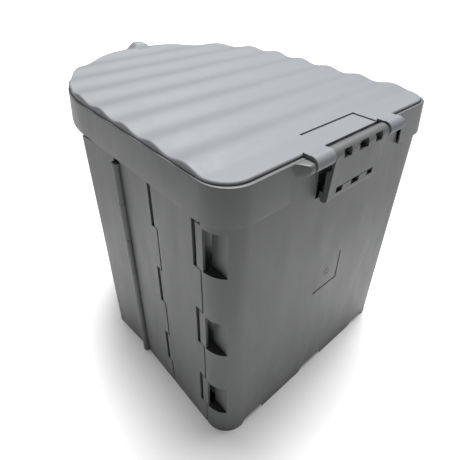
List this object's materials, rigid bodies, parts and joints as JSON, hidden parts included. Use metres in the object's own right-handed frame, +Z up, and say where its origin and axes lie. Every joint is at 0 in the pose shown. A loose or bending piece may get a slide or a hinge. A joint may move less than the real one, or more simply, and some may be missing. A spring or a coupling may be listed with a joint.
{
  "type": "resin wash station",
  "caption": "D-plan plastic wash bin: waved hinged lid with lift tab, rim band, hinge clip, comb-seamed side walls, hinged side flaps, inner tank and lift-out basket.",
  "frame": {"origin": "on the ground under the middle of the bounding box, at the centre foot's underside", "axes": "+Z up, +Y towards the rounded user side with the lift tab, -Y towards the flat hinge wall, X across the width"},
  "size_m": [0.304, 0.3848, 0.3379],
  "materials": {
    "housing_grey": "satin moulded",
    "lid_grey": "satin moulded",
    "tank_white": "smooth moulded",
    "basket_grey": "satin moulded",
    "rubber_black": "matt",
    "steel": "satin"
  },
  "bodies": {
    "housing": {"rear_shell": "housing_grey", "front_shell": "housing_grey", "rim_collar": "housing_grey", "base_tray": "housing_grey", "left_rear_side_panel": "housing_grey", "right_rear_side_panel": "housing_grey", "left_middle_side_panel": "housing_grey", "right_middle_side_panel": "housing_grey", "wash_tank": "tank_white", "hinge_pin": "steel", "left_flap_pin": "steel", "right_flap_pin": "steel", "base_screw_front": "steel", "base_screw_rear_left": "steel", "base_screw_rear_right": "steel", "base_screw_rear_side_left": "steel", "base_screw_rear_side_right": "steel", "base_screw_middle_side_left": "steel", "base_screw_middle_side_right": "steel", "base_screw_front_side_left": "steel", "base_screw_front_side_right": "steel", "foot_rear_left": "rubber_black", "foot_rear_right": "rubber_black", "foot_front_left": "rubber_black", "foot_front_right": "rubber_black", "foot_centre": "rubber_black"},
    "lid": {"lid": "lid_grey", "lid_gasket": "rubber_black"},
    "clip": {"hinge_clip": "housing_grey"},
    "left_flap": {"left_side_flap": "housing_grey"},
    "right_flap": {"right_side_flap": "housing_grey"},
    "basket": {"wash_basket": "basket_grey", "left_bail_bush": "tank_white", "right_bail_bush": "tank_white", "basket_foot_rear_left": "rubber_black", "basket_foot_rear_right": "rubber_black", "basket_foot_front_left": "rubber_black", "basket_foot_front_right": "rubber_black"},
    "bail": {"basket_handle": "steel", "handle_grip": "rubber_black"}
  },
  "joints": [
    {"name": "lid_hinge", "type": "hinge", "parent": "housing", "child": "lid", "pos_m": [0, -0.1844, 0.3187], "axis": [1, 0, 0], "range_deg": [0, 100]},
    {"name": "clip_pivot", "type": "hinge", "parent": "housing", "child": "clip", "pos_m": [0, -0.1844, 0.3187], "axis": [-1, 0, 0], "range_deg": [0, 75]},
    {"name": "left_flap_hinge", "type": "hinge", "parent": "housing", "child": "left_flap", "pos_m": [-0.1476, -0.0219, 0.15], "axis": [0, 0, 1], "range_deg": [-3.6, 95]},
    {"name": "right_flap_hinge", "type": "hinge", "parent": "housing", "child": "right_flap", "pos_m": [0.1476, -0.0219, 0.15], "axis": [0, 0, -1], "range_deg": [-3.6, 95]},
    {"name": "basket_lift", "type": "slide", "parent": "housing", "child": "basket", "axis": [0, 0, 1], "range_m": [0, 0.06]},
    {"name": "bail_pivot", "type": "hinge", "parent": "basket", "child": "bail", "pos_m": [0, -0.0176, 0.138], "axis": [1, 0, 0], "range_deg": [0, 180]}
  ]
}
